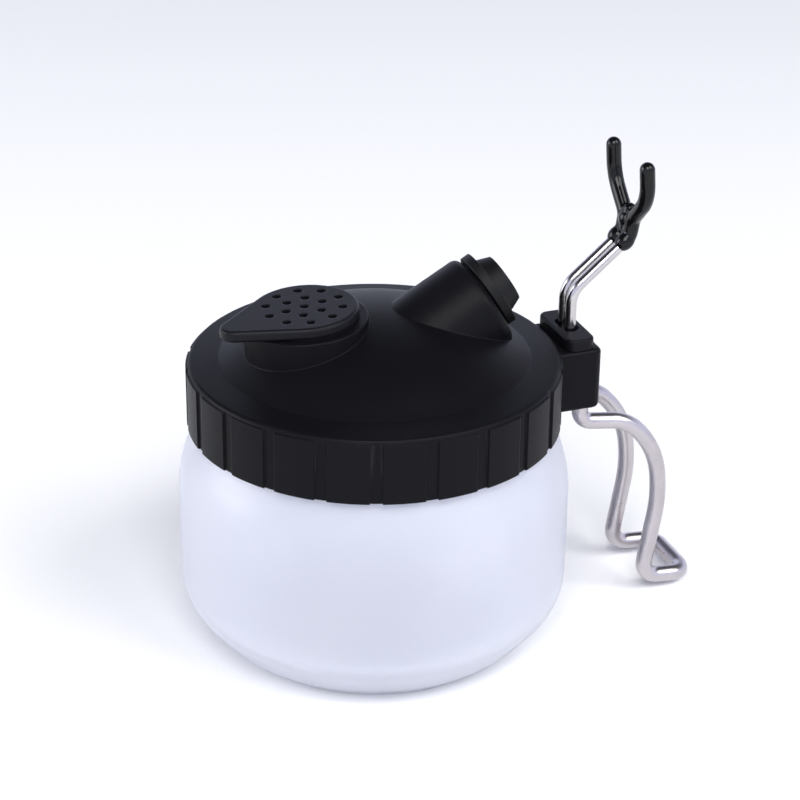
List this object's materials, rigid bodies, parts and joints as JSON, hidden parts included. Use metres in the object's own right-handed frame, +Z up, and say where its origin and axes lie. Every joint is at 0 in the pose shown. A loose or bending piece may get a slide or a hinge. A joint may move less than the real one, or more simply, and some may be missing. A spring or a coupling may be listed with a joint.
{
  "type": "airbrush cleaning pot",
  "caption": "frosted glass jar with a black screw lid that carries a perforated filter cap, an angled rubber nozzle port and a bracket with a bent-wire fork and a hanging wire cradle",
  "frame": {"origin": "middle of the base on the table, on the axis of the jar and its screw thread", "axes": "+Z up along the jar's axis; +X from the axis out through the side bracket, the fork and the cradle, which is also the side the port faces; +Y completes a right-handed set"},
  "size_m": [0.1348, 0.097, 0.1201],
  "materials": {
    "frosted_glass": "frosted, faintly blue, satin",
    "seal_foam": "soft closed-cell foam liner",
    "lid_plastic": "fine satin moulding, near-black",
    "cap_plastic": "fine satin moulding, near-black",
    "filter_mesh": "fine woven mesh",
    "filter_felt": "carbon-loaded felt",
    "filter_sponge": "open-cell sponge",
    "boot_rubber": "soft matt rubber",
    "polished_wire": "bright drawn stainless wire",
    "vinyl_dip": "glossy dipped vinyl",
    "plug_plastic": "fine satin moulding"
  },
  "bodies": {
    "jar": {"glass_jar": "frosted_glass"},
    "seal": {"lid_seal": "seal_foam"},
    "lid": {"screw_lid": "lid_plastic", "cradle_wire": "polished_wire"},
    "filter": {"filter_mesh": "filter_mesh", "filter_felt": "filter_felt", "filter_sponge": "filter_sponge"},
    "cap": {"vent_cap": "cap_plastic"},
    "boot": {"nozzle_boot": "boot_rubber"},
    "holder": {"holder_plug": "plug_plastic", "fork_wire": "polished_wire", "fork_sleeve": "vinyl_dip"}
  },
  "joints": [
    {"name": "lid_lift", "type": "slide", "parent": "jar", "child": "seal", "axis": [0, 0, 1], "range_m": [0, 0.0153]},
    {"name": "lid_turn", "type": "hinge", "parent": "seal", "child": "lid", "pos_m": [0, 0, 0.0582], "axis": [0, 0, 1], "range_deg": [0, 1080]},
    {"name": "cap_lift", "type": "slide", "parent": "lid", "child": "filter", "axis": [-0.061, 0, 0.9981], "range_m": [0, 0.014]},
    {"name": "cap_turn", "type": "hinge", "parent": "filter", "child": "cap", "pos_m": [-0.0177, 0, 0.0874], "axis": [-0.061, 0, 0.9981], "continuous": true},
    {"name": "boot_pull", "type": "slide", "parent": "lid", "child": "boot", "axis": [0.8572, 0, 0.515], "range_m": [0, 0.0125]},
    {"name": "holder_lift", "type": "slide", "parent": "lid", "child": "holder", "axis": [0, 0, 1], "range_m": [0, 0.01]}
  ],
  "couplings": [
    {"joint": "lid_lift", "follows": "lid_turn", "m_per_rad": 0.00080851}
  ]
}
